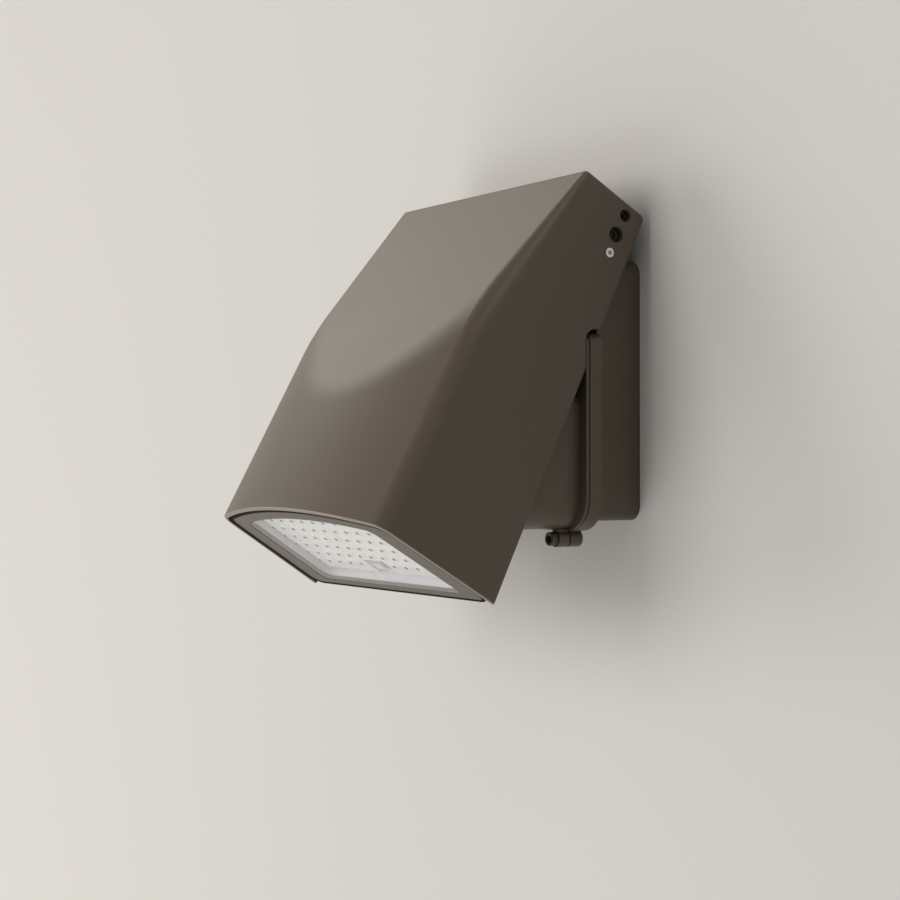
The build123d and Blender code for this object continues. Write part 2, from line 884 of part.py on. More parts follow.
def lock_screw():
    seat = pad_seat + side_clearance
    length = seat - ear_face - side_clearance
    body = screw(lock_thread, length, lock_head_radius, lock_head, lock_socket)
    return head_place * Pos(seat, lock_back, lock_rise) * Rot(0, 90, 0) * body


def cheek_face(y):
    """Outer face of the cheek at a y position of the upright head."""
    return hood_width / 2 - cheek_slope * (pivot_from_rear - y)


def stop_sleeve():
    outside = cheek_face(stop_back)
    sleeve = rod_x(sleeve_radius, pad_face, outside, stop_back, -stop_drop)
    return head_place * (sleeve - rod_x(stop_pin_radius, pad_face, outside, stop_back, -stop_drop))


def stop_pin():
    outside = cheek_face(stop_back)
    pin = rod_x(stop_pin_radius, ear_plate_back + stop_pin_short, outside, stop_back, -stop_drop)
    return head_place * pin


# ------------------------------------------------------------ optical chamber, built on the rim plane

def rim_half(depth, inset):
    """Half width of the hood along its rim, less an inset."""
    return hood_width / 2 - inset - cheek_slope * cos(radians(end_slope)) * depth


def rim_face(side, front, rear, front_corner, rear_corner):
    """Outline parallel to the hood's rim, inset from its cheeks, its bowed front and its rear edge."""
    reach = rim_reach - front
    plan = Polygon(
        (-rim_half(rear, side), -rear),
        (-rim_half(reach, side), -reach),
        (rim_half(reach, side), -reach),
        (rim_half(rear, side), -rear),
        align=None,
    )
    face = plan & Pos(0, bow_radius - rim_reach) * Circle(bow_radius - front)
    face = fillet(face.vertices().sort_by(Axis.Y)[:2], front_corner)
    return fillet(face.vertices().sort_by(Axis.Y)[-2:], rear_corner)


def slab(face, low, high):
    """A face pulled into a plate between two levels above the rim plane."""
    return extrude(Pos(0, 0, low) * face, high - low)


def inset_face(grow):
    """The window's outline, grown outward."""
    return rim_face(
        window_side - grow,
        window_front - grow,
        window_rear - grow,
        window_corner + grow,
        window_rear_corner + grow,
    )


def frame_face(inset):
    """The lens frame's outer outline, less an inset."""
    edge = hood_wall + frame_gap + inset
    return rim_face(edge, edge, frame_rear_gap + inset, frame_corner - inset, frame_rear_corner - inset)


def frame_screw_places():
    middle = (frame_screw_rear + frame_screw_front) / 2
    places = [
        (rim_half(frame_screw_rear, frame_screw_side), frame_screw_rear),
        (rim_half(middle, frame_screw_side), middle),
        (rim_half(frame_screw_front, frame_screw_front_side), frame_screw_front),
    ]
    front = rim_reach - front_screw_inset - front_screw_offset ** 2 / (2 * bow_radius)
    return places + [(front_screw_offset, front)]


def mount_points():
    places = [(rear_mount, rear_mount_side), (front_mount, front_mount_side)]
    return [(rim_half(y, inset), y) for y, inset in places]


def mount_boss(x, y):
    top = sink_top + mount_boss_height
    boss = rod_z(mount_boss_radius, sink_top, top, x, -y)
    boss += box_between((x, -y - mount_boss_radius, sink_top), (hood_width / 2, mount_boss_radius - y, top))
    return rim_place * boss


def lens_frame():
    wall = lens_overlap + lens_clearance
    frame = slab(frame_face(0), frame_level, sink_level)
    frame = fillet(frame.faces().sort_by(Axis.Z)[0].edges(), frame_edge)
    channel = slab(frame_face(frame_wall), frame_level + frame_wall, sink_level)
    frame -= channel - slab(inset_face(wall + frame_wall), frame_level, sink_level)
    for x, y in frame_screw_places():
        boss = rod_z(frame_boss_radius, frame_level + frame_wall / 2, sink_level, x, -y)
        for side in both_sides(boss):
            frame += side & slab(frame_face(0), frame_level, sink_level)
    frame -= slab(inset_face(wall), lens_level, sink_level)
    frame -= slab(inset_face(0), frame_level - past, sink_level)
    for x, y in frame_screw_places():
        for side in both_sides(rod_z(frame_screw_thread / 2, lens_back, sink_level, x, -y)):
            frame -= side
    return head_place * rim_place * frame


def lens_cover():
    lens = slab(inset_face(lens_overlap), lens_level, lens_back)
    lens += slab(inset_face(-lens_gap), lens_face, lens_level)
    return head_place * rim_place * lens


def chamber_ring(low, high):
    """Ring under the lens cover's edge."""
    outer = slab(inset_face(lens_overlap - lens_clearance), low, high)
    return outer - slab(inset_face(lens_clearance), low, high)


def lens_gasket():
    return head_place * rim_place * chamber_ring(lens_back, land_level)


def heat_sink():
    edge = hood_wall + sink_gap
    sink = slab(rim_face(edge, edge, sink_gap, frame_corner, frame_rear_corner), sink_level, sink_top)
    sink += chamber_ring(land_level, sink_level)
    for number in range(fin_count):
        x = (number - (fin_count - 1) / 2) * fin_pitch
        low = (x - fin_thickness / 2, -fin_front, sink_top)
        sink += box_between(low, (x + fin_thickness / 2, -fin_rear, sink_top + fin_height))
    for x, y in frame_screw_places():
        hole = rod_z(frame_screw_thread / 2 + side_clearance, sink_level - past, sink_top + past, x, -y)
        for side in both_sides(hole):
            sink -= side
    for x, y in mount_points():
        hole = rod_z(mount_thread / 2 + side_clearance, sink_level - past, sink_top + past, x, -y)
        hole += rod_z(mount_head_radius + side_clearance, sink_level - past, sink_level + mount_head, x, -y)
        for side in both_sides(hole):
            sink -= side
    for x, y in board_screw_points():
        hole = rod_z(frame_screw_thread / 2, sink_level - past, sink_top - blind_skin, x, -y)
        for side in both_sides(hole):
            sink -= side
    sink -= rod_z(lead_hole_radius, sink_level - past, sink_top + past, 0, -lead_entry)
    return head_place * rim_place * sink


def sink_screws():
    length = sink_base - mount_head + mount_boss_height - mount_roof
    body = Rot(180, 0, 0) * screw(mount_thread, length, mount_head_radius, mount_head, mount_socket)
    screws = []
    for x, y in mount_points():
        screws += both_sides(head_place * rim_place * Pos(x, -y, sink_level + mount_head) * body)
    return group(screws)


def frame_screws():
    length = sink_top - lens_back
    head_radius = frame_screw_head_radius
    body = screw(frame_screw_thread, length, head_radius, frame_screw_head, frame_screw_socket)
    screws = []
    for x, y in frame_screw_places():
        screws += both_sides(head_place * rim_place * Pos(x, -y, sink_top) * body)
    return group(screws)


def led_points():
    """Places of one side's LEDs. The inner place of the last row is left for the connector."""
    points = []
    for row in range(led_rows):
        for column in range(led_columns):
            if row > 0 or column > 0:
                points.append(((column + 0.5) * led_pitch_x, led_first_row + row * led_pitch_y))
    return points


def board_screw_points():
    middles = [(2, 0.5), (4, 0.5), (2, led_rows - 1.5), (4, led_rows - 1.5)]
    return [(column * led_pitch_x, led_first_row + row * led_pitch_y) for column, row in middles]


def board_face(inset, corner):
    low = (board_inner + inset, -board_front + inset)
    high = (board_outer - inset, -board_rear - inset)
    middle = Pos((low[0] + high[0]) / 2, (low[1] + high[1]) / 2)
    face = middle * Rectangle(high[0] - low[0], high[1] - low[1])
    outer = face.vertices().sort_by(Axis.X)[-2:].sort_by(Axis.Y)[0]
    return chamfer(outer, corner)


def led_board():
    board = slab(board_face(0, board_corner), board_level, sink_level)
    board -= rod_z(lead_hole_radius, board_level - past, sink_level + past, 0, -lead_entry)
    for x, y in board_screw_points():
        board -= rod_z(frame_screw_thread / 2 + side_clearance, board_level - past, sink_level + past, x, -y)
    return head_place * rim_place * board


def led_chips():
    chips = []
    for x, y in led_points():
        half = chip_size / 2
        chip = box_between((x - half, -y - half, chip_level), (x + half, half - y, board_level))
        chips.append(head_place * rim_place * chip)
    return group(chips)


def optic_array():
    plate = slab(board_face(optic_inset, board_corner), optic_level, board_level)
    plate -= slab(board_face(optic_inset + optic_rim, optic_hollow_corner), optic_back, board_level)
    sphere = (dome_radius ** 2 + dome_height ** 2) / (2 * dome_height)
    cap = Pos(0, 0, -dome_height / 2) * Box(4 * dome_radius, 4 * dome_radius, dome_height)
    cap &= Pos(0, 0, sphere - dome_height) * Sphere(sphere)
    domes = [Pos(x, -y, optic_level) * cap for x, y in led_points()]
    plate = plate + domes
    notch = (optic_inset, -connector_reach - board_rear, dome_level - past)
    plate -= box_between(notch, (connector_width / 2, -board_rear + past, board_level + past))
    for x, y in board_screw_points():
        plate -= rod_z(frame_screw_head_radius + side_clearance, dome_level - past, optic_back, x, -y)
    return head_place * rim_place * plate


def board_screws():
    length = board_thickness + sink_base - 2 * blind_skin
    head_radius = frame_screw_head_radius
    body = screw(frame_screw_thread, length, head_radius, board_screw_head, board_screw_socket)
    screws = []
    for x, y in board_screw_points():
        screws += both_sides(head_place * rim_place * Pos(x, -y, board_level) * Rot(180, 0, 0) * body)
    return group(screws)


def board_connector():
    width, depth, height = connector_block
    low = (-width / 2, -lead_entry - depth / 2, board_level - height)
    high = (width / 2, depth / 2 - lead_entry, board_level)
    return head_place * rim_place * box_between(low, high)


def lead_gland():
    body = rod_z(lead_hole_radius, sink_level, sink_top, 0, -lead_entry)
    body += rod_z(gland_radius, sink_top, sink_top + gland_height, 0, -lead_entry)
    body -= rod_z(lead_radius, sink_level - past, sink_top + gland_height + past, 0, -lead_entry)
    return head_place * rim_place * body


def hood_point(x, depth, drop):
    """A point inside the hood, in the upright head."""
    return Vector(x, *upright((depth, drop)))


def rim_point(x, y, level):
    """A point of the optical chamber, in the upright head."""
    return (rim_place * Pos(x, -y, level)).position


def head_lead():
    low, high = max(clip_drops), min(clip_drops)
    points = [
        rim_point(0, lead_entry, board_level),
        rim_point(0, lead_entry, sink_top + 1.4 * fin_height),
        hood_point(0, lead_depth(low + lead_turn), low + lead_turn),
        hood_point(0, lead_depth(high - lead_turn), high - lead_turn),
        hood_point(lead_side / 2, top_depth - lead_crown_inset, lead_crown_drop),
        Vector(lead_side, 0, 0),
        Vector(lead_meet, 0, 0),
    ]
    bends = [18, 20, 60, 30, lead_bend]
    return head_place * tube(points, bends, lead_radius)


def lead_depth(drop):
    """Depth of the lead where it runs down the inside of the hood's upper front."""
    wall_depth = top_depth + upper_slope * (drop + top_depth * top_fall)
    return wall_depth - (hood_wall + clip_standoff) * hypot(1, upper_slope)


def lead_clips():
    reach = clip_standoff - clip_gap
    section = Circle(lead_radius + clip_wall) + Pos(0, -reach / 2) * Rectangle(2 * lead_radius, reach)
    section += Pos(0, clip_wall / 2 - reach) * Rectangle(2 * clip_width, clip_wall)
    section -= Circle(lead_radius)
    clips = []
    for drop in clip_drops:
        seat = hood_point(0, lead_depth(drop), drop)
        plane = Plane(origin=seat, x_dir=(1, 0, 0), z_dir=(0, upper_slope, 1))
        clips.append(head_place * extrude(plane * section, clip_width / 2, both=True))
    return group(clips)


def main():
    right = {
        "hinge_ear": hinge_ear(),
        "pivot_bolt": pivot_bolt(),
        "pivot_bushing": pivot_bushing(),
        "lock_screw": lock_screw(),
        "stop_sleeve": stop_sleeve(),
        "stop_pin": stop_pin(),
        "captive_screw": captive_screw(captive_offset),
        "captive_ring": captive_ring(captive_offset),
        "led_board": led_board(),
        "led_chips": led_chips(),
        "optic_array": optic_array(),
    }
    pieces = {
        "back_box": back_box(),
        "wall_seal": wall_seal(),
        "cover_seal": cover_seal(),
        "driver_housing": driver_housing(),
        "led_driver": led_driver(),
        "driver_screws": driver_screws(),
        "terminal_block": terminal_block(),
        "terminal_screws": terminal_screws(),
        "ground_screw": ground_screw(),
        "lead_grommet": lead_grommet(),
        "box_lead": box_lead(),
        "input_lead": input_lead(),
        "ear_screws": ear_screws(),
        "hood": hood(),
        "heat_sink": heat_sink(),
        "sink_screws": sink_screws(),
        "lens_frame": lens_frame(),
        "frame_screws": frame_screws(),
        "lens_cover": lens_cover(),
        "lens_gasket": lens_gasket(),
        "board_screws": board_screws(),
        "board_connector": board_connector(),
        "lead_gland": lead_gland(),
        "head_lead": head_lead(),
        "lead_clips": lead_clips(),
    }
    for name, piece in right.items():
        pieces[name + "_right"] = piece
        pieces[name + "_left"] = mirror(piece, Plane.YZ)
    os.makedirs("parts", exist_ok=True)
    for name, piece in pieces.items():
        export_step(piece, f"parts/{name}.step")
        print(name, len(piece.solids()), round(piece.volume))


main()
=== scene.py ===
import json
import math
import bmesh
import bpy
from mathutils import Matrix, Vector
from mathutils.geometry import convex_hull_2d


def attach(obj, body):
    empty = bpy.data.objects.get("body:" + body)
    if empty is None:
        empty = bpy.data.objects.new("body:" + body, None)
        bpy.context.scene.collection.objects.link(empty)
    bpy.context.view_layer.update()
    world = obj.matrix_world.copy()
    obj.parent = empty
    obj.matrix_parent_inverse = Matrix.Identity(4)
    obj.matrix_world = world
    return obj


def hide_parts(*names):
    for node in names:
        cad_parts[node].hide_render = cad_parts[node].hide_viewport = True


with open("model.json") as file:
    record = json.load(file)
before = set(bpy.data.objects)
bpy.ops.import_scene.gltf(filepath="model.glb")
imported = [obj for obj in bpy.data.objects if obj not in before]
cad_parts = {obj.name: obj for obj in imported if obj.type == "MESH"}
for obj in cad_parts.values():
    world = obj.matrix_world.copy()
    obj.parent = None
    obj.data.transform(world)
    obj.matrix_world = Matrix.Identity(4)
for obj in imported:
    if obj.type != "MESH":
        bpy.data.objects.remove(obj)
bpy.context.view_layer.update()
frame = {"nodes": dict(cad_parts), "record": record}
nodes = frame["nodes"]
slotOf = {row["node"]: row["material_slot"] for row in frame["record"]["subparts"]}
print("frame loaded:", len(nodes), "nodes")


class Wire:
    # a shader socket that takes part in Python sums
    def __init__(self, web, socket):
        self.web = web
        self.socket = socket

    def join(self, operation, other, swapped=False):
        pair = (other, self) if swapped else (self, other)
        return self.web.join(operation, *pair)

    def __add__(self, other):
        return self.join("ADD", other)

    def __sub__(self, other):
        return self.join("SUBTRACT", other)

    def __rsub__(self, other):
        return self.join("SUBTRACT", other, True)

    def __mul__(self, other):
        return self.join("MULTIPLY", other)

    def __pow__(self, other):
        return self.join("POWER", other)

    __radd__ = __add__
    __rmul__ = __mul__


class Web:
    # the shader nodes of a material or a world, all made by add()
    def __init__(self, owner, outputKind):
        owner.use_nodes = True
        self.owner = owner
        self.tree = owner.node_tree
        self.tree.nodes.clear()
        self.output = self.tree.nodes.new(outputKind)

    def add(self, kind, settings=None, inputs=None, output=0):
        # settings belong to the node, inputs are the values or wires of its sockets
        node = self.tree.nodes.new(kind)
        for key, value in (settings or {}).items():
            setattr(node, key, value)
        for key, value in (inputs or {}).items():
            if isinstance(value, Wire):
                self.tree.links.new(value.socket, node.inputs[key])
            else:
                node.inputs[key].default_value = value
        return Wire(self, node.outputs[output])

    def join(self, operation, first, second):
        return self.add("ShaderNodeMath", {"operation": operation}, {0: first, 1: second})

    def close(self, shader):
        self.tree.links.new(shader.socket, self.output.inputs["Surface"])
        return self.owner


class Finish(Web):
    # a material
    def __init__(self, name):
        super().__init__(bpy.data.materials.new(name), "ShaderNodeOutputMaterial")

    def place(self):
        return self.add("ShaderNodeTexCoord", output="Object")

    def noise(self, scale, detail, roughness):
        inputs = {"Vector": self.place(), "Scale": scale, "Detail": detail, "Roughness": roughness}
        return self.add("ShaderNodeTexNoise", {}, inputs)

    def blendColours(self, factor, low, high):
        # sockets 6 and 7 are the two colours, and output 2 is the blend
        settings = {"data_type": "RGBA", "clamp_factor": True}
        return self.add("ShaderNodeMix", settings, {0: factor, 6: low, 7: high}, 2)

    def bump(self, height, strength, distance):
        inputs = {"Height": height, "Strength": strength, "Distance": distance}
        return self.add("ShaderNodeBump", {}, inputs)

    def surface(self, inputs):
        return self.close(self.add("ShaderNodeBsdfPrincipled", {}, inputs))


def fromScreen(red, green, blue):
    # a colour as a screen shows it, from 0 to 255, in the renderer's linear values
    values = []
    for value in (red, green, blue):
        share = value / 255
        values.append(share / 12.92 if share <= 0.04045 else ((share + 0.055) / 1.055) ** 2.4)
    return (*values, 1)


# The head's own frame, as its lens rim lies: x to the right, y to the hood's rear edge, z into
# the head. It leans back on the pivot, and the rim slopes a little more.
head = {
    "pivot": (0.0, -0.0275, 0.10025),
    "lean": 25.4,
    "rimAt": (0.0, 0.0158, -0.2545),
    "slope": 7.3,
}


def rimFrame():
    lean = Matrix.Rotation(-math.radians(head["lean"]), 4, "X")
    slope = Matrix.Rotation(-math.radians(head["slope"]), 4, "X")
    return Matrix.Translation(head["pivot"]) @ lean @ Matrix.Translation(head["rimAt"]) @ slope


rim = rimFrame()
rimTurn = rim.to_3x3().to_4x4()
intoHead = rim.to_3x3() @ Vector((0, 0, 1))


def headLevel(finish):
    # how far a point lies into the head from its rim, in metres
    inputs = {0: finish.place(), 1: intoHead}
    reach = finish.add("ShaderNodeVectorMath", {"operation": "DOT_PRODUCT"}, inputs, "Value")
    return reach - rim.translation.dot(intoHead)


# In the looks below a noise is its scale, detail and roughness, and spread is how much the
# roughness wanders.


def powderCoat(name, tone, paintedRimHighlight=False):
    # satin coat with a fine grain over a soft peel, and if asked a painted highlight on the hood's
    # rim edge
    look = {
        "grain": (1100.0, 3.0, 0.6),
        "grainDepth": 0.00003,
        "peel": (260.0, 2.0, 0.5),
        "peelDepth": 0.00006,
        "relief": 0.35,
        "cloud": (14.0, 3.0, 0.5),
        "metallic": 0.1,
        "roughness": 0.40,
        "spread": 0.06,
        # the painted highlight on the hood's rim edge: its colour, how far into the head it
        # reaches and how sharply it fades
        "edge": fromScreen(132, 121, 106),
        "rimHighlightTo": 0.0009,
        "rimHighlightRise": 2200.0,
    }
    finish = Finish(name)
    grain = finish.noise(*look["grain"])
    peel = finish.noise(*look["peel"])
    cloud = finish.noise(*look["cloud"])
    height = grain * look["grainDepth"] + peel * look["peelDepth"]
    colour = finish.blendColours(cloud, tone["base"], tone["light"])
    if paintedRimHighlight:
        # painted highlight: the coat is lighter on the hood's rim edge, standing in for the light
        # that the rim's rounding catches
        rimHighlightShare = (look["rimHighlightTo"] - headLevel(finish)) * look["rimHighlightRise"]
        colour = finish.blendColours(rimHighlightShare, colour, look["edge"])
    return finish.surface({
        "Base Color": colour,
        "Metallic": look["metallic"],
        "Roughness": cloud * look["spread"] + (look["roughness"] - look["spread"] / 2),
        "Specular IOR Level": tone["shine"],
        "Normal": finish.bump(height, look["relief"], 1.0),
    })


def castAluminium():
    # bare casting, with white enamel on the side that faces the lens
    look = {
        "bare": fromScreen(150, 151, 153),
        "bareLight": fromScreen(172, 173, 174),
        "enamel": fromScreen(245, 241, 246),
        "enamelTo": 0.01306,
        "metallic": 0.9,
        "smoothest": 0.42,
        "spread": 0.15,
        "grain": (700.0, 4.0, 0.6),
        "grainDepth": 0.00006,
        "relief": 0.35,
        "cloud": (30.0, 3.0, 0.5),
    }
    finish = Finish("castAluminium")
    grain = finish.noise(*look["grain"])
    cloud = finish.noise(*look["cloud"])
    enamel = finish.join("LESS_THAN", headLevel(finish), look["enamelTo"])
    bare = finish.blendColours(cloud, look["bare"], look["bareLight"])
    return finish.surface({
        "Base Color": finish.blendColours(enamel, bare, look["enamel"]),
        "Metallic": look["metallic"] - enamel * look["metallic"],
        "Roughness": cloud * look["spread"] + look["smoothest"],
        "Normal": finish.bump(grain, look["relief"], look["grainDepth"]),
    })


def plain(name, shade, roughness, metallic=0.0, extra=None):
    # a finish of one colour with a fine grain and a slight cloudiness
    look = {
        "grain": (600.0, 3.0, 0.55),
        "grainDepth": 0.00003,
        "relief": 0.3,
        "cloud": (30.0, 2.0, 0.5),
        "darker": 0.06,
        "spread": 0.08,
    }
    finish = Finish(name)
    grain = finish.noise(*look["grain"])
    cloud = finish.noise(*look["cloud"])
    colour = fromScreen(*shade)
    dark = tuple(c * (1 - look["darker"]) for c in colour[:3]) + (1,)
    inputs = {
        "Base Color": finish.blendColours(cloud, dark, colour),
        "Metallic": metallic,
        "Roughness": cloud * look["spread"] + (roughness - look["spread"] / 2),
        "Normal": finish.bump(grain, look["relief"], look["grainDepth"]),
    }
    inputs.update(extra or {})
    return finish.surface(inputs)


def clearAcrylic():
    # clear from straight on and glossy at a flat angle, on the faces turned outwards only
    look = {
        "headOn": 0.04,
        "rise": 5.0,
        "tint": fromScreen(250, 250, 250),
        "haze": (60.0, 2.0, 0.5),
        "smoothest": 0.05,
        "spread": 0.04,
    }
    finish = Finish("clearAcrylic")
    facing = finish.add("ShaderNodeLayerWeight", {}, {"Blend": 0.5}, "Facing")
    outside = 1 - finish.add("ShaderNodeNewGeometry", output="Backfacing")
    shine = (facing ** look["rise"] * (1 - look["headOn"]) + look["headOn"]) * outside
    haze = finish.noise(*look["haze"])
    clear = finish.add("ShaderNodeBsdfTransparent", {}, {"Color": (1, 1, 1, 1)})
    gloss = finish.add("ShaderNodeBsdfPrincipled", {}, {
        "Base Color": look["tint"],
        "Metallic": 1.0,
        "Roughness": haze * look["spread"] + look["smoothest"],
    })
    return finish.close(finish.add("ShaderNodeMixShader", {}, {0: shine, 1: clear, 2: gloss}))


print("materials")
bronze = {"base": fromScreen(83, 71, 59), "light": fromScreen(90, 78, 65), "shine": 0.5}
# a darker copy of the same bronze paint, for the lens frame: painted shade
paintedShadeBronze = {"base": fromScreen(76, 67, 55), "light": fromScreen(83, 73, 60), "shine": 0.3}
plainFinishes = {
    # slot: name, colour on a screen, roughness, metallic
    "silicone": ("darkSilicone", (44, 40, 36), 0.7, 0.0),
    "driver_case": ("driverWhite", (205, 205, 200), 0.45, 0.1),
    "zinc_steel": ("zincSteel", (178, 180, 184), 0.34, 0.95),
    "green_screw": ("greenScrew", (58, 130, 70), 0.4, 0.3),
    "black_steel": ("blackOxide", (30, 29, 28), 0.42, 0.4),
    "bronze_screw": ("bronzeScrew", (82, 73, 64), 0.36, 0.4),
    "ring_plastic": ("ringPlastic", (200, 198, 190), 0.5, 0.0),
    "block_plastic": ("blockPlastic", (214, 210, 196), 0.5, 0.0),
    "connector_plastic": ("connectorPlastic", (224, 224, 220), 0.45, 0.0),
    "lead_jacket": ("leadJacket", (34, 34, 34), 0.5, 0.0),
    "gland_plastic": ("glandPlastic", (48, 48, 48), 0.6, 0.0),
    "bushing_plastic": ("bushingPlastic", (58, 58, 58), 0.55, 0.0),
    "sleeve_plastic": ("sleevePlastic", (250, 249, 246), 0.4, 0.0),
    "pin_steel": ("pinSteel", (150, 148, 145), 0.35, 0.9),
    "optic_acrylic": ("opticAcrylic", (250, 250, 248), 0.32, 0.0, {"Coat Weight": 0.3}),
    "board_white": ("boardWhite", (214, 212, 214), 0.5, 0.0),
    "led_phosphor": ("ledPhosphor", (226, 205, 110), 0.5, 0.0),
}
finishes = {slotName: plain(*look) for slotName, look in plainFinishes.items()}
finishes["painted_casting"] = powderCoat("bronzePowderCoat", bronze)
finishes["bare_aluminium"] = castAluminium()
finishes["lens_acrylic"] = clearAcrylic()
opticDot = plain("opticDot", (88, 88, 84), 0.4)
# black for the bead that stands in for the shade in the gap round the lens frame: painted shadow
blackSilicone = plain("blackSilicone", (22, 20, 18), 0.85, extra={"Specular IOR Level": 0.1})
# nodes whose finish differs from the rest of their slot
ownFinishes = {
    # the hood's coat has a painted highlight on its rim edge
    "hood": powderCoat("hoodCoat", bronze, paintedRimHighlight=True),
    # the lens frame is the same bronze paint, made darker as painted shade
    "lens_frame": powderCoat("frameCoat", paintedShadeBronze),
    "lens_gasket": plain("paleSilicone", (240, 237, 242), 0.6),
}
for row in frame["record"]["subparts"]:
    mesh = nodes[row["node"]].data
    mesh.materials.clear()
    mesh.materials.append(ownFinishes.get(row["node"], finishes[row["material_slot"]]))


def linked(name, data):
    thing = bpy.data.objects.new(name, data)
    bpy.context.collection.objects.link(thing)
    return thing


def finished(name, mesh, body, material):
    piece = linked(name, mesh)
    mesh.materials.clear()
    mesh.materials.append(material)
    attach(piece, body)
    return piece


def baked(temporary):
    # the mesh that an object's modifiers give, and the object taken away
    evaluated = temporary.evaluated_get(bpy.context.evaluated_depsgraph_get())
    mesh = bpy.data.meshes.new_from_object(evaluated)
    bpy.data.objects.remove(temporary)
    return mesh


def scatterTree():
    # puts one shape at each point, turned about an axis by a seeded random angle
    tree = bpy.data.node_groups.new("scatter", "GeometryNodeTree")
    sockets = (
        ("Points", "NodeSocketGeometry"),
        ("Shape", "NodeSocketObject"),
        ("Axis", "NodeSocketVector"),
        ("Largest Turn", "NodeSocketFloat"),
        ("Seed", "NodeSocketInt"),
        ("Finish", "NodeSocketMaterial"),
    )
    for name, kind in sockets:
        tree.interface.new_socket(name, in_out="INPUT", socket_type=kind)
    tree.interface.new_socket("Pieces", in_out="OUTPUT", socket_type="NodeSocketGeometry")
    start = tree.nodes.new("NodeGroupInput")
    shape = tree.nodes.new("GeometryNodeObjectInfo")
    angle = tree.nodes.new("FunctionNodeRandomValue")
    turn = tree.nodes.new("FunctionNodeAxisAngleToRotation")
    spread = tree.nodes.new("GeometryNodeInstanceOnPoints")
    real = tree.nodes.new("GeometryNodeRealizeInstances")
    paint = tree.nodes.new("GeometryNodeSetMaterial")
    end = tree.nodes.new("NodeGroupOutput")
    angle.data_type = "FLOAT"
    join = tree.links.new
    join(start.outputs["Shape"], shape.inputs["Object"])
    # the random value's input 3 is the largest number, and its output 1 is the number drawn
    join(start.outputs["Largest Turn"], angle.inputs[3])
    join(start.outputs["Seed"], angle.inputs["Seed"])
    join(start.outputs["Axis"], turn.inputs["Axis"])
    join(angle.outputs[1], turn.inputs["Angle"])
    join(start.outputs["Points"], spread.inputs["Points"])
    join(shape.outputs["Geometry"], spread.inputs["Instance"])
    join(turn.outputs["Rotation"], spread.inputs["Rotation"])
    join(spread.outputs["Instances"], real.inputs["Geometry"])
    join(real.outputs["Geometry"], paint.inputs["Geometry"])
    join(start.outputs["Finish"], paint.inputs["Material"])
    join(paint.outputs["Geometry"], end.inputs["Pieces"])
    return tree


scatter = scatterTree()


def scattered(points, shapeMesh, axis, largestTurn, seed, material):
    # one mesh of a shape repeated at the given points
    dots = bpy.data.meshes.new("points")
    dots.from_pydata([tuple(p) for p in points], [], [])
    holder = linked("points", dots)
    shape = linked("shape", shapeMesh)
    modifier = holder.modifiers.new("scatter", "NODES")
    modifier.node_group = scatter
    values = {
        "Shape": shape,
        "Axis": tuple(axis),
        "Largest Turn": largestTurn,
        "Seed": seed,
        "Finish": material,
    }
    for item in scatter.interface.items_tree:
        if item.name in values:
            modifier[item.identifier] = values[item.name]
    mesh = baked(holder)
    bpy.data.objects.remove(shape)
    return mesh


def skin(build, loops):
    # four-sided faces between neighbouring loops of corners
    for first, second in zip(loops, loops[1:]):
        for i in range(len(first)):
            j = (i + 1) % len(first)
            build.faces.new((first[i], first[j], second[j], second[i]))


def meshOf(build):
    # a bmesh made plain, with its outside facing out and its hard edges kept
    mergeWithin, sharpFrom = 1e-7, math.radians(35)
    bmesh.ops.remove_doubles(build, verts=build.verts, dist=mergeWithin)
    bmesh.ops.recalc_face_normals(build, faces=build.faces)
    mesh = bpy.data.meshes.new("mesh")
    build.to_mesh(mesh)
    build.free()
    mesh.shade_smooth()
    mesh.set_sharp_from_angle(angle=sharpFrom)
    return mesh


# Socket screws. What all of them share; the sets below give each its own sizes.
screwForm = {
    "steps": 48,  # corners round the screw
    "grip": "round",  # or knurled
    "knurls": 30,
    "knurlDepth": 0.00022,
    "soft": 0.00025,  # the size of the rounded edges
    "faceEdge": 1.6,  # where the top edge's rounding starts and ends, in softs
    "faceMiddle": 0.5,  # the rounding's middle, in softs
    "underEdge": 0.8,  # the chamfer under the head, in softs
    "socketDepth": 0.6,  # in head heights
    "socketMouth": 1.18,  # in hexagon sizes
    "threadDepth": 0.45,  # in pitches
    "tip": 0.7,  # in thread radii
}


def ringRadius(kind, radius, angle, size):
    if kind == "hex":
        return radius / math.cos(angle % (math.pi / 3) - math.pi / 6)
    if kind == "knurled":
        return radius - size["knurlDepth"] * (0.5 - 0.5 * math.cos(size["knurls"] * angle))
    return radius


def screwRings(size):
    # the screw's profile from the socket's bottom to the tip: shape, radius, height
    thread, top, length, pitch = (size[k] for k in ("thread", "head", "length", "pitch"))
    radius, grip, soft, across = size["headRadius"], size["grip"], size["soft"], size["socket"] / 2
    rings = [
        ("hex", across, -size["socketDepth"] * top),
        ("hex", across, -soft),
        ("round", across * size["socketMouth"] + soft, 0.0),
        ("round", radius - size["faceEdge"] * soft, 0.0),
        ("round", radius - size["faceMiddle"] * soft, -size["faceMiddle"] * soft),
        (grip, radius, -size["faceEdge"] * soft),
        (grip, radius, size["underEdge"] * soft - top),
        ("round", radius - size["underEdge"] * soft, -top),
        ("round", thread, -top),
    ]
    height = -top
    for turn in range(int((length - top) / pitch)):
        rings.append(("round", thread - pitch * size["threadDepth"], height - pitch / 2))
        height -= pitch
        rings.append(("round", thread, height))
    rings.append(("round", thread * size["tip"], -length))
    return rings


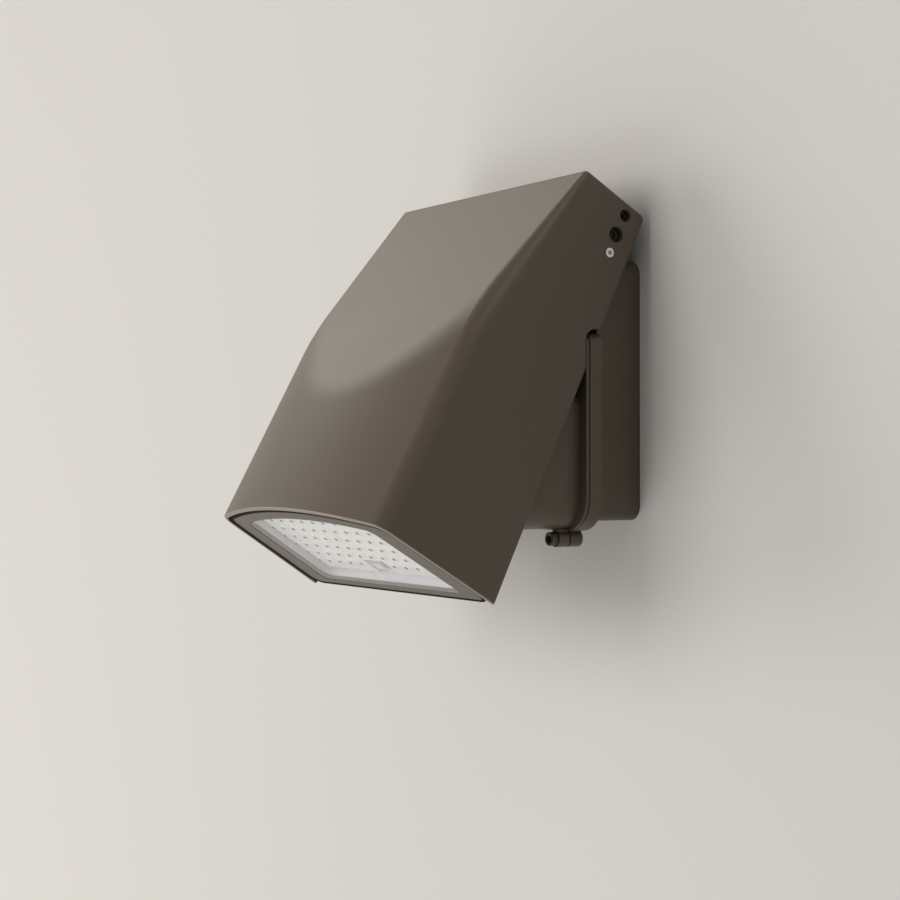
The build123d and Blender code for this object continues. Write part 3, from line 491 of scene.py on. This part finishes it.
def socketScrew(size, axis):
    # a screw about an axis, with the top of its head at the origin and its tip behind it
    build = bmesh.new()
    loops = []
    for kind, radius, height in screwRings(size):
        loop = []
        for step in range(size["steps"]):
            angle = 2 * math.pi * step / size["steps"]
            reach = ringRadius(kind, radius, angle, size)
            corner = (reach * math.cos(angle), reach * math.sin(angle), height)
            loop.append(build.verts.new(corner))
        loops.append(loop)
    skin(build, loops)
    build.faces.new(loops[0])
    build.faces.new(reversed(loops[-1]))
    build.transform(axis.to_track_quat("Z", "Y").to_matrix().to_4x4())
    return meshOf(build)


def solidsOf(node):
    # the separate solids of a node, each a list of its corner points
    mergeWithin = 1e-6
    build = bmesh.new()
    build.from_mesh(nodes[node].data)
    bmesh.ops.remove_doubles(build, verts=build.verts, dist=mergeWithin)
    build.verts.ensure_lookup_table()
    seen, groups = set(), []
    for vertex in build.verts:
        if vertex.index in seen:
            continue
        seen.add(vertex.index)
        line, group = [vertex], []
        while line:
            current = line.pop()
            group.append(current.co.copy())
            for edge in current.link_edges:
                other = edge.other_vert(current)
                if other.index not in seen:
                    seen.add(other.index)
                    line.append(other)
        groups.append(group)
    build.free()
    return groups


def replaceScrews(name, nodeName, body, axis, size):
    # each screw stands where its plain solid stands, and takes its length and head from it
    flatWithin, sixthTurn = 1e-5, math.pi / 3
    axis = Vector(axis).normalized()
    tops, length, radius = [], 0.0, 0.0
    for points in solidsOf(nodeName):
        reaches = [p.dot(axis) for p in points]
        top = max(reaches)
        headPoints = [p for p in points if p.dot(axis) > top - flatWithin]
        centre = sum(headPoints, Vector()) / len(headPoints)
        length = top - min(reaches)
        radius = max(((p - centre) - axis * (p - centre).dot(axis)).length for p in points)
        tops.append(centre)
    look = {**screwForm, **size, "length": length, "headRadius": radius}
    slotName = slotOf[nodeName]
    material = finishes[slotName]
    mesh = scattered(tops, socketScrew(look, axis), axis, sixthTurn, len(name), material)
    piece = finished(name, mesh, body, material)
    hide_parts(nodeName)


print("screws")
captive = {
    "thread": 0.0025, "head": 0.005, "socket": 0.005, "pitch": 0.0008,
    "grip": "knurled", "steps": 120,
}
pivot = {"thread": 0.003, "head": 0.0026, "socket": 0.005, "pitch": 0.001}
lock = {"thread": 0.0025, "head": 0.0026, "socket": 0.004, "pitch": 0.0008}
wide = {"thread": 0.002, "head": 0.0022, "socket": 0.003, "pitch": 0.0007}
ground = {"thread": 0.002, "head": 0.003, "socket": 0.0025, "pitch": 0.0007}
small = {"thread": 0.002, "head": 0.0024, "socket": 0.0025, "pitch": 0.0007}
thin = {"thread": 0.0015, "head": 0.002, "socket": 0.0025, "pitch": 0.0005, "steps": 36}
flat = {"thread": 0.0015, "head": 0.0014, "socket": 0.002, "pitch": 0.0005, "steps": 36}
toLeft, toRight, up, toFront, toWall = (-1, 0, 0), (1, 0, 0), (0, 0, 1), (0, -1, 0), (0, 1, 0)
screwSets = (
    # piece, node, body, the way the heads face, sizes
    ("captiveScrewLeft", "captive_screw_left", "captive_left", toFront, captive),
    ("captiveScrewRight", "captive_screw_right", "captive_right", toFront, captive),
    ("pivotBoltLeft", "pivot_bolt_left", "mount_box", toLeft, pivot),
    ("pivotBoltRight", "pivot_bolt_right", "mount_box", toRight, pivot),
    ("lockScrewLeft", "lock_screw_left", "lock_left", toLeft, lock),
    ("lockScrewRight", "lock_screw_right", "lock_right", toRight, lock),
    ("earScrews", "ear_screws", "mount_box", up, wide),
    ("groundScrew", "ground_screw", "mount_box", toFront, ground),
    ("terminalScrews", "terminal_screws", "mount_box", toFront, small),
    ("driverScrews", "driver_screws", "mount_box", toWall, small),
    ("frameScrews", "frame_screws", "head", intoHead, thin),
    ("sinkScrews", "sink_screws", "head", -intoHead, wide),
    ("boardScrews", "board_screws", "head", -intoHead, flat),
)
for screwSet in screwSets:
    replaceScrews(*screwSet)


# LED arrays behind the lens, in the rim's frame, with levels counted into the head
array = {
    "columns": 6,
    "rows": 6,
    "columnPitch": 0.015,
    "rowPitch": 0.01085,
    "firstRow": 0.0236,
    # the optic plate's outline, with a notch for the connector
    "inner": 0.0003,
    "outer": 0.0857,
    "rear": 0.0128,
    "front": 0.0827,
    "corner": 0.004,
    "cornerShrink": 0.6,
    "notchWidth": 0.013,
    "notchDepth": 0.0285,
    # its levels: the plain face, the hollow's floor, the board that it stands on
    "face": 0.0086,
    "hollow": 0.0102,
    "seat": 0.0114,
    "rimWidth": 0.0008,
    "soft": 0.00022,
    "softFrom": 20.0,
    # the lenslets and their darker tips, each sunk a little into what carries it
    "domeRadius": 0.0036,
    "domeHeight": 0.0006,
    "domeSteps": (24, 6),
    "dotRadius": 0.0015,
    "dotHeight": 0.0007,
    "dotSteps": (16, 4),
    "dotSunk": 0.0001,
    "capBase": 0.0003,
    # the LED packages
    "chip": 0.0026,
    "chipHeight": 0.0009,
    "chipSoft": 0.00015,
}


def ledSeats(side, level):
    # the middles of the LEDs, without the inner rear place that the connector takes
    seats = []
    for line in range(array["rows"]):
        for column in range(array["columns"]):
            if line > 0 or column > 0:
                x = side * (column + 0.5) * array["columnPitch"]
                y = -array["firstRow"] - line * array["rowPitch"]
                seats.append(rim @ Vector((x, y, level)))
    return seats


def opticOutline(side, inset):
    inner, outer = array["inner"] + inset, array["outer"] - inset
    rear, front = -array["rear"] - inset, -array["front"] + inset
    corner = array["corner"] - array["cornerShrink"] * inset
    notchX, notchY = array["notchWidth"] + inset, -array["notchDepth"] - inset
    points = [
        (notchX, rear), (outer, rear), (outer, front + corner), (outer - corner, front),
        (inner, front), (inner, notchY), (notchX, notchY),
    ]
    return [(side * x, y) for x, y in points]


def opticPlate(side):
    # a shallow tray: plain face towards the lens, a rim that stands on the board
    outer, inner = opticOutline(side, 0), opticOutline(side, array["rimWidth"])
    levels = [
        (outer, array["face"]), (outer, array["seat"]),
        (inner, array["seat"]), (inner, array["hollow"]),
    ]
    build = bmesh.new()
    loops = [[build.verts.new((x, y, z)) for x, y in outline] for outline, z in levels]
    skin(build, loops)
    build.faces.new(loops[0])
    build.faces.new(loops[-1])
    bmesh.ops.recalc_face_normals(build, faces=build.faces)
    softFrom = math.radians(array["softFrom"])
    edges = [edge for edge in build.edges if edge.calc_face_angle() > softFrom]
    bmesh.ops.bevel(
        build, geom=edges, offset=array["soft"], segments=2, affect="EDGES", clamp_overlap=True,
    )
    build.transform(rim)
    return meshOf(build)


def capShape(radius, height, around, rings):
    # half of a flattened ball that looks out of the lamp, on a short base, closed behind
    build = bmesh.new()
    loops = []
    for ring in range(rings):
        rise = math.pi / 2 * ring / rings
        reach, level = radius * math.cos(rise), -height * math.sin(rise)
        angles = [2 * math.pi * i / around for i in range(around)]
        corners = [(reach * math.cos(a), reach * math.sin(a), level) for a in angles]
        loops.append([build.verts.new(corner) for corner in corners])
    tip = build.verts.new((0, 0, -height))
    base = [build.verts.new((v.co.x, v.co.y, array["capBase"])) for v in loops[0]]
    build.faces.new(base)
    skin(build, [base] + loops)
    for i in range(around):
        build.faces.new((loops[-1][i], loops[-1][(i + 1) % around], tip))
    build.transform(rimTurn)
    return meshOf(build)


def chipShape():
    # a flat square package with softened edges, its back on the board
    width, height = array["chip"], array["chipHeight"]
    build = bmesh.new()
    bmesh.ops.create_cube(build, size=1.0)
    bmesh.ops.scale(build, vec=(width, width, height), verts=build.verts)
    edges = list(build.edges)
    bmesh.ops.bevel(build, geom=edges, offset=array["chipSoft"], segments=2, affect="EDGES")
    bmesh.ops.translate(build, vec=(0, 0, -height / 2), verts=build.verts)
    build.transform(rimTurn)
    return meshOf(build)


print("LED arrays")
noTurn = (intoHead, 0.0, 1)  # axis, largest turn, seed
opticFinish, chipFinish = finishes["optic_acrylic"], finishes["led_phosphor"]
for side, word in ((-1, "left"), (1, "right")):
    tail = word.capitalize()
    plate = finished("opticPlate" + tail, opticPlate(side), "head", opticFinish)
    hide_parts("optic_array_" + word)
    domeShape = capShape(array["domeRadius"], array["domeHeight"], *array["domeSteps"])
    lenslets = scattered(ledSeats(side, array["face"]), domeShape, *noTurn, opticFinish)
    finished("lenslets" + tail, lenslets, "head", opticFinish)
    dotLevel = array["face"] - array["domeHeight"] + array["dotSunk"]
    dotShape = capShape(array["dotRadius"], array["dotHeight"], *array["dotSteps"])
    dots = scattered(ledSeats(side, dotLevel), dotShape, *noTurn, opticDot)
    finished("lensletTips" + tail, dots, "head", opticDot)
    chips = scattered(ledSeats(side, array["seat"]), chipShape(), *noTurn, chipFinish)
    chipPiece = finished("ledChips" + tail, chips, "head", chipFinish)
    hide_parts("led_chips_" + word)


def outlineOf(points):
    # the convex outline of flat points, anticlockwise, without its shortest sides
    shortest = 0.0002
    outline = [points[i] for i in convex_hull_2d(points)]
    outline = [p for i, p in enumerate(outline) if (p - outline[i - 1]).length > shortest]
    area = sum(a.x * b.y - b.x * a.y for a, b in zip(outline, outline[1:] + outline[:1]))
    return outline if area > 0 else outline[::-1]


def inward(outline, distance):
    # the same convex outline, every side moved in by the distance
    smallestShare = 0.5  # keeps a very sharp corner from running far in
    moved = []
    count = len(outline)
    for i in range(count):
        before, here, after = outline[i - 1], outline[i], outline[(i + 1) % count]
        first, second = (here - before).normalized(), (after - here).normalized()
        across = Vector((-(first + second).y, (first + second).x)).normalized()
        share = max(smallestShare, across.dot(Vector((-first.y, first.x))))
        moved.append(here + across * distance / share)
    return moved


# A black bead between the hood's rim and the lens frame, a painted shadow standing in for the
# shade in the gap there, in the rim's frame
frameSeal = {"inset": 0.0001, "width": 0.0026, "low": 0.0007, "high": 0.0026, "round": 0.0004}


# a black bead along the lens frame's outline inside the hood's rim: painted shadow
def paintedShadowRing():
    back = rim.inverted()
    outline = outlineOf([(back @ v.co).xy for v in nodes["lens_frame"].data.vertices])
    outer, low, high, soft = (frameSeal[k] for k in ("inset", "low", "high", "round"))
    inner = outer + frameSeal["width"]
    section = [
        (outer, high), (outer, low + soft), (outer + soft, low),
        (inner - soft, low), (inner, low + soft), (inner, high),
    ]
    build = bmesh.new()
    loops = []
    for distance, level in section:
        corners = [(p.x, p.y, level) for p in inward(outline, distance)]
        loops.append([build.verts.new(corner) for corner in corners])
    skin(build, loops + loops[:1])
    build.transform(rim)
    return meshOf(build)


print("painted shadow bead")
finished("frameSeal", paintedShadowRing(), "head", blackSilicone)

# The wall, the light and the camera, which stands as it did for the photograph
studio = {
    "cameraPlace": (1.04991, -0.73861, -0.04721),
    "azimuth": 57.916,
    "elevation": 0.369,
    "lens": 71.87,
    "sensorWidth": 36.0,
    "clipStart": 0.01,
    "aim": (0.0, -0.08, 0.0),
    "paleColour": fromScreen(214, 211, 205),
    "paleStrength": 1.0,
    "worldStrength": 0.24,
}
warm, plainWhite, white = (1.0, 0.955, 0.88), (1.0, 0.99, 0.975), (1.0, 1.0, 1.0)
lamps = {
    "left": {"place": (-8.2, -5.6, 0.5), "size": 5.1, "power": 250.0, "colour": warm},
    "besideWall": {"place": (-8.0, -0.95, 6.1), "size": 5.1, "power": 139.0, "colour": warm},
    "front": {"place": (-0.7, -4.0, 0.9), "size": 2.8, "power": 45.0, "colour": plainWhite},
    "under": {"place": (-2.2, -2.2, -3.1), "size": 5.0, "power": 80.0, "colour": white},
    "right": {"place": (1.1, -0.35, 1.5), "size": 1.0, "power": 3.0, "colour": plainWhite},
}


def aimed(name, data, place, direction):
    # a camera or lamp at a place, looking in a direction
    thing = linked(name, data)
    thing.location = place
    thing.rotation_mode = "QUATERNION"
    thing.rotation_quaternion = direction.to_track_quat("-Z", "Y")
    return thing


def makeCamera():
    turn, rise = math.radians(studio["azimuth"]), math.radians(studio["elevation"])
    level = math.cos(rise)
    looking = Vector((-math.sin(turn) * level, math.cos(turn) * level, math.sin(rise)))
    data = bpy.data.cameras.new("camera")
    data.lens = studio["lens"]
    data.sensor_width = studio["sensorWidth"]
    data.clip_start = studio["clipStart"]
    bpy.context.scene.camera = aimed("camera", data, studio["cameraPlace"], looking)


def areaLamp(name, place, size, power, colour):
    data = bpy.data.lights.new(name, "AREA")
    data.color = colour
    data.shape = "DISK"
    data.size = size
    data.energy = power
    aimed(name, data, place, Vector(studio["aim"]) - Vector(place))


# The wall sheet: its opening lies behind the box, and it is clear from behind, so that the
# box's back can be seen and lit. The cover is how far the sheet reaches in behind the box.
wall = {
    "half": 3.0,
    "gap": 0.00012,
    "cover": 0.0015,
    "backWithin": 0.0001,
    "colour": fromScreen(236, 233, 227),
    "grain": (900.0, 3.0, 0.6),
    "grainDepth": 0.0002,
    "relief": 0.15,
}


def wallPaint():
    finish = Finish("paleWall")
    relief = finish.bump(finish.noise(*wall["grain"]), wall["relief"], wall["grainDepth"])
    inputs = {"Color": wall["colour"], "Normal": relief}
    paint = finish.add("ShaderNodeBsdfDiffuse", {}, inputs)
    clear = finish.add("ShaderNodeBsdfTransparent")
    backSide = finish.add("ShaderNodeNewGeometry", output="Backfacing")
    return finish.close(finish.add("ShaderNodeMixShader", {}, {0: backSide, 1: paint, 2: clear}))


def makeWall():
    half, backFrom = wall["half"], -wall["backWithin"]
    boxBack = [v.co.xz for v in nodes["back_box"].data.vertices if v.co.y > backFrom]
    sides = [(-half, -half), (half, -half), (half, half), (-half, half)]
    build = bmesh.new()
    edges = []
    for loop in (sides, inward(outlineOf(boxBack), wall["cover"])):
        corners = [build.verts.new((x, wall["gap"], z)) for x, z in loop]
        pairs = zip(corners, corners[1:] + corners[:1])
        edges += [build.edges.new((first, second)) for first, second in pairs]
    bmesh.ops.triangle_fill(build, use_beauty=True, edges=edges)
    for face in build.faces:
        if face.normal.y > 0:
            face.normal_flip()
    mesh = bpy.data.meshes.new("wall")
    build.to_mesh(mesh)
    build.free()
    mesh.materials.append(wallPaint())
    sheet = linked("wall", mesh)


def makeWorld():
    # the camera, glass and gloss see a pale ground, and everything else a weak even light
    web = Web(bpy.data.worlds.new("studio"), "ShaderNodeOutputWorld")
    seen = web.add("ShaderNodeLightPath", output="Is Camera Ray")
    for kind in ("Is Transmission Ray", "Is Glossy Ray"):
        seen = web.join("MAXIMUM", seen, web.add("ShaderNodeLightPath", output=kind))
    dim = {"Color": (1, 1, 1, 1), "Strength": studio["worldStrength"]}
    pale = {"Color": studio["paleColour"], "Strength": studio["paleStrength"]}
    light = web.add("ShaderNodeBackground", {}, dim)
    backdrop = web.add("ShaderNodeBackground", {}, pale)
    mix = web.add("ShaderNodeMixShader", {}, {0: seen, 1: light, 2: backdrop})
    bpy.context.scene.world = web.close(mix)


print("studio")
makeCamera()
makeWall()
makeWorld()
for name, lamp in lamps.items():
    areaLamp(name, **lamp)
bpy.context.scene.view_settings.view_transform = "Standard"
